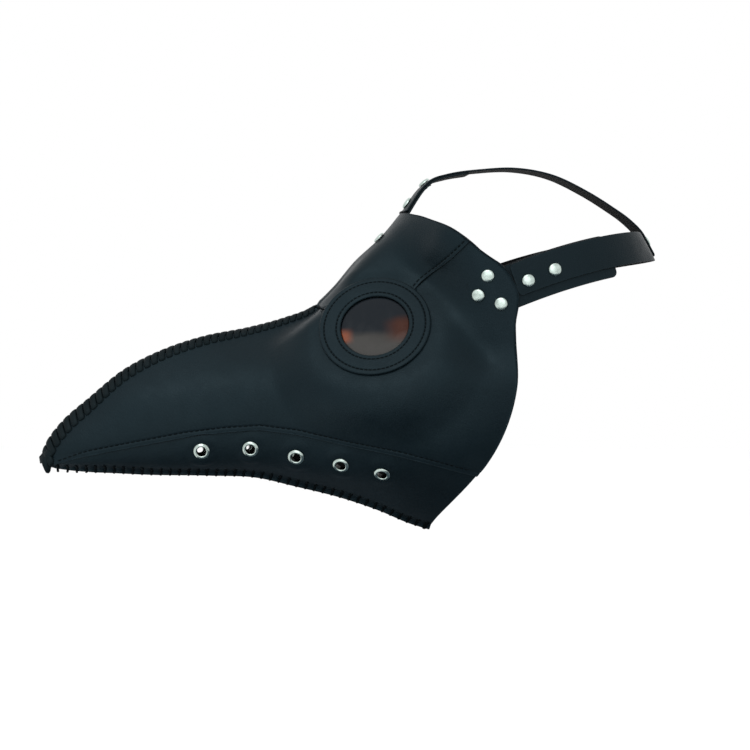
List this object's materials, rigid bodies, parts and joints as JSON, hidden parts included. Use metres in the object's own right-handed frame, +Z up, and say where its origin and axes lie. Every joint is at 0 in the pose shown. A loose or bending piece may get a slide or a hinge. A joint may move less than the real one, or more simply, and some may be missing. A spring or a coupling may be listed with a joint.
{
  "type": "plague doctor mask",
  "caption": "Stitched black leather plague doctor mask: long curved beak, round amber lenses in stitched rings, eyelets along the jaw and a strap harness with press studs.",
  "frame": {"origin": "centre of the wearer's head, midway between the temples, where the head sits in the mask and harness", "axes": "+X to the back of the head (the beak points to -X), +Z up, -Y the wearer's left side; the XZ plane is the mirror plane"},
  "size_m": [0.4928, 0.1714, 0.2925],
  "materials": {
    "black_leather": "satin black faux leather",
    "strap_leather": "matt black faux leather",
    "backing_leather": "matt unfinished back",
    "lacing_cord": "waxed black cord",
    "smoky_amber_plastic": "clear gloss, smoky amber",
    "nickel_silver": "nickel plated"
  },
  "bodies": {
    "mask": {"forehead_panel": "black_leather", "upper_panel_left": "black_leather", "lower_panel_left": "black_leather", "eye_ring_left": "black_leather", "lens_left": "smoky_amber_plastic", "lens_backing_left": "backing_leather", "eyelet_left_1": "nickel_silver", "eyelet_left_2": "nickel_silver", "eyelet_left_3": "nickel_silver", "eyelet_left_4": "nickel_silver", "eyelet_left_5": "nickel_silver", "tab_left": "strap_leather", "temple_rivet_left_1": "nickel_silver", "temple_rivet_left_2": "nickel_silver", "temple_rivet_left_3": "nickel_silver", "snap_stud_left_front": "nickel_silver", "snap_stud_left_rear": "nickel_silver", "rear_rivet_left": "nickel_silver", "upper_panel_right": "black_leather", "lower_panel_right": "black_leather", "eye_ring_right": "black_leather", "lens_right": "smoky_amber_plastic", "lens_backing_right": "backing_leather", "eyelet_right_1": "nickel_silver", "eyelet_right_2": "nickel_silver", "eyelet_right_3": "nickel_silver", "eyelet_right_4": "nickel_silver", "eyelet_right_5": "nickel_silver", "tab_right": "strap_leather", "temple_rivet_right_1": "nickel_silver", "temple_rivet_right_2": "nickel_silver", "temple_rivet_right_3": "nickel_silver", "snap_stud_right_front": "nickel_silver", "snap_stud_right_rear": "nickel_silver", "rear_rivet_right": "nickel_silver", "ridge_lacing": "lacing_cord", "keel_lacing": "lacing_cord", "tab_top": "strap_leather", "forehead_rivet": "nickel_silver", "snap_stud_top_front": "nickel_silver", "snap_stud_top_rear": "nickel_silver", "back_strap": "strap_leather", "top_strap": "strap_leather"},
    "strap_end_left": {"strap_end_left": "strap_leather", "snap_cap_left_front": "nickel_silver", "snap_cap_left_rear": "nickel_silver"},
    "strap_end_right": {"strap_end_right": "strap_leather", "snap_cap_right_front": "nickel_silver", "snap_cap_right_rear": "nickel_silver"},
    "strap_end_top": {"strap_end_top": "strap_leather", "snap_cap_top_front": "nickel_silver", "snap_cap_top_rear": "nickel_silver"}
  },
  "joints": [
    {"name": "left_strap_end", "type": "hinge", "parent": "mask", "child": "strap_end_left", "pos_m": [0.04446, -0.07702, 0.05879], "axis": [-0.3496, 0, 0.9369], "range_deg": [0, 50]},
    {"name": "right_strap_end", "type": "hinge", "parent": "mask", "child": "strap_end_right", "pos_m": [0.04446, 0.07702, 0.05879], "axis": [0.3496, 0, -0.9369], "range_deg": [0, 50]},
    {"name": "top_strap_end", "type": "hinge", "parent": "mask", "child": "strap_end_top", "pos_m": [-0.05973, 0, 0.12634], "axis": [0, 1, 0], "range_deg": [0, 50]}
  ]
}
